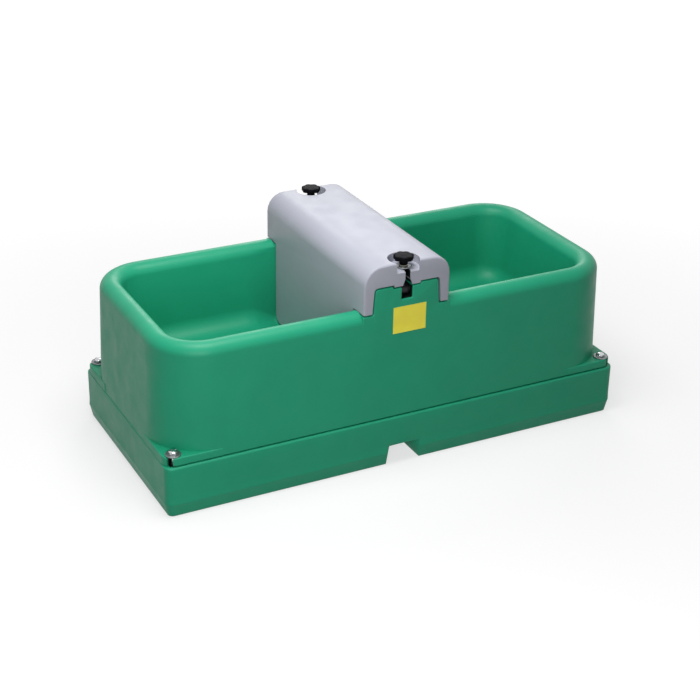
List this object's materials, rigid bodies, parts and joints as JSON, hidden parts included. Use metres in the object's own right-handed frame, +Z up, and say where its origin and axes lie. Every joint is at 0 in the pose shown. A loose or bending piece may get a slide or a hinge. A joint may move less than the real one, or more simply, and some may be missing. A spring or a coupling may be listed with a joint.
{
  "type": "livestock waterer",
  "caption": "Low green drinking trough on a base, with two open bowls either side of a clamped cover over a float valve, drain and pipes.",
  "frame": {"origin": "middle of the base's underside, on the floor", "axes": "+X along the trough's length; -Y is the side that faces the viewer, with a clamp in its middle; +Z up"},
  "size_m": [1, 0.46, 0.4356],
  "materials": {
    "green_polyethylene": "moulded, fine satin",
    "grey_polyethylene": "moulded, fine satin",
    "black_nylon": "moulded, satin",
    "natural_nylon": "moulded, satin",
    "stainless_steel": "plain stainless",
    "black_steel": "black zinc plated",
    "galvanised_steel": "hot-dip galvanised",
    "brass": "cast and turned",
    "black_rubber": "matt",
    "polyethylene_pipe": "extruded, satin",
    "orange_polypropylene": "blow moulded, satin"
  },
  "bodies": {
    "frame": {"base": "green_polyethylene", "trough": "green_polyethylene", "supply_fitting": "brass", "supply_gasket": "black_rubber", "supply_nut": "brass", "standpipe": "galvanised_steel", "standpipe_elbow": "galvanised_steel", "supply_pipe": "polyethylene_pipe", "hose_clamp": "galvanised_steel", "valve_body": "brass", "valve_nozzle": "natural_nylon", "lever_pin": "stainless_steel", "drain_body": "black_nylon", "drain_gasket": "black_rubber", "drain_nut": "black_nylon", "drain_pipe": "polyethylene_pipe", "corner_screw_front_left": "stainless_steel", "corner_washer_front_left": "stainless_steel", "corner_insert_front_left": "brass", "corner_screw_front_right": "stainless_steel", "corner_washer_front_right": "stainless_steel", "corner_insert_front_right": "brass", "corner_screw_rear_right": "stainless_steel", "corner_washer_rear_right": "stainless_steel", "corner_insert_rear_right": "brass", "corner_screw_rear_left": "stainless_steel", "corner_washer_rear_left": "stainless_steel", "corner_insert_rear_left": "brass", "swing_pin_front": "stainless_steel", "swing_pin_rear": "stainless_steel"},
    "cover": {"cover": "grey_polyethylene"},
    "float": {"float_arm": "brass", "float": "orange_polypropylene", "float_nut_upper": "brass", "float_nut_lower": "brass"},
    "piston": {"valve_piston": "brass", "piston_seal": "black_rubber"},
    "plug": {"drain_plug": "black_nylon", "plug_seal": "black_rubber"},
    "bolt_front": {"swing_bolt_front": "black_steel"},
    "clamp_front": {"knob_washer_front": "stainless_steel"},
    "travel_front": {"thrust_washer_front": "natural_nylon"},
    "knob_front": {"knob_front": "black_nylon", "knob_bush_front": "brass"},
    "bolt_rear": {"swing_bolt_rear": "black_steel"},
    "clamp_rear": {"knob_washer_rear": "stainless_steel"},
    "travel_rear": {"thrust_washer_rear": "natural_nylon"},
    "knob_rear": {"knob_rear": "black_nylon", "knob_bush_rear": "brass"}
  },
  "joints": [
    {"name": "cover_lift", "type": "slide", "parent": "frame", "child": "cover", "axis": [0, 0, 1], "range_m": [0, 0.24]},
    {"name": "clamp_swing_front", "type": "hinge", "parent": "cover", "child": "clamp_front", "pos_m": [0, -0.2008, 0.3645], "axis": [1, 0, 0], "range_deg": [0, 105]},
    {"name": "bolt_swing_front", "type": "hinge", "parent": "frame", "child": "bolt_front", "pos_m": [0, -0.2008, 0.3645], "axis": [1, 0, 0], "range_deg": [0, 105]},
    {"name": "knob_travel_front", "type": "slide", "parent": "clamp_front", "child": "travel_front", "axis": [0, 0, 1], "range_m": [0, 0.006]},
    {"name": "knob_spin_front", "type": "hinge", "parent": "travel_front", "child": "knob_front", "pos_m": [0, -0.2008, 0.43], "axis": [0, 0, 1], "range_deg": [0, 1440]},
    {"name": "clamp_swing_rear", "type": "hinge", "parent": "cover", "child": "clamp_rear", "pos_m": [0, 0.2008, 0.3645], "axis": [-1, 0, 0], "range_deg": [0, 105]},
    {"name": "bolt_swing_rear", "type": "hinge", "parent": "frame", "child": "bolt_rear", "pos_m": [0, 0.2008, 0.3645], "axis": [-1, 0, 0], "range_deg": [0, 105]},
    {"name": "knob_travel_rear", "type": "slide", "parent": "clamp_rear", "child": "travel_rear", "axis": [0, 0, 1], "range_m": [0, 0.006]},
    {"name": "knob_spin_rear", "type": "hinge", "parent": "travel_rear", "child": "knob_rear", "pos_m": [0, 0.2008, 0.43], "axis": [0, 0, 1], "range_deg": [0, 1440]},
    {"name": "float_swing", "type": "hinge", "parent": "frame", "child": "float", "pos_m": [0, 0.05417, 0.323], "axis": [-1, 0, 0], "range_deg": [0, 24]},
    {"name": "piston_slide", "type": "slide", "parent": "frame", "child": "piston", "axis": [0, 1, 0], "range_m": [0, 0.0071]},
    {"name": "plug_lift", "type": "slide", "parent": "frame", "child": "plug", "axis": [0, 0, 1], "range_m": [0, 0.06]}
  ],
  "couplings": [
    {"joint": "bolt_swing_front", "follows": "clamp_swing_front", "ratio": 1},
    {"joint": "knob_travel_front", "follows": "knob_spin_front", "m_per_rad": 0.00023873},
    {"joint": "bolt_swing_rear", "follows": "clamp_swing_rear", "ratio": 1},
    {"joint": "knob_travel_rear", "follows": "knob_spin_rear", "m_per_rad": 0.00023873},
    {"joint": "piston_slide", "follows": "float_swing", "m_per_rad": 0.016877}
  ]
}
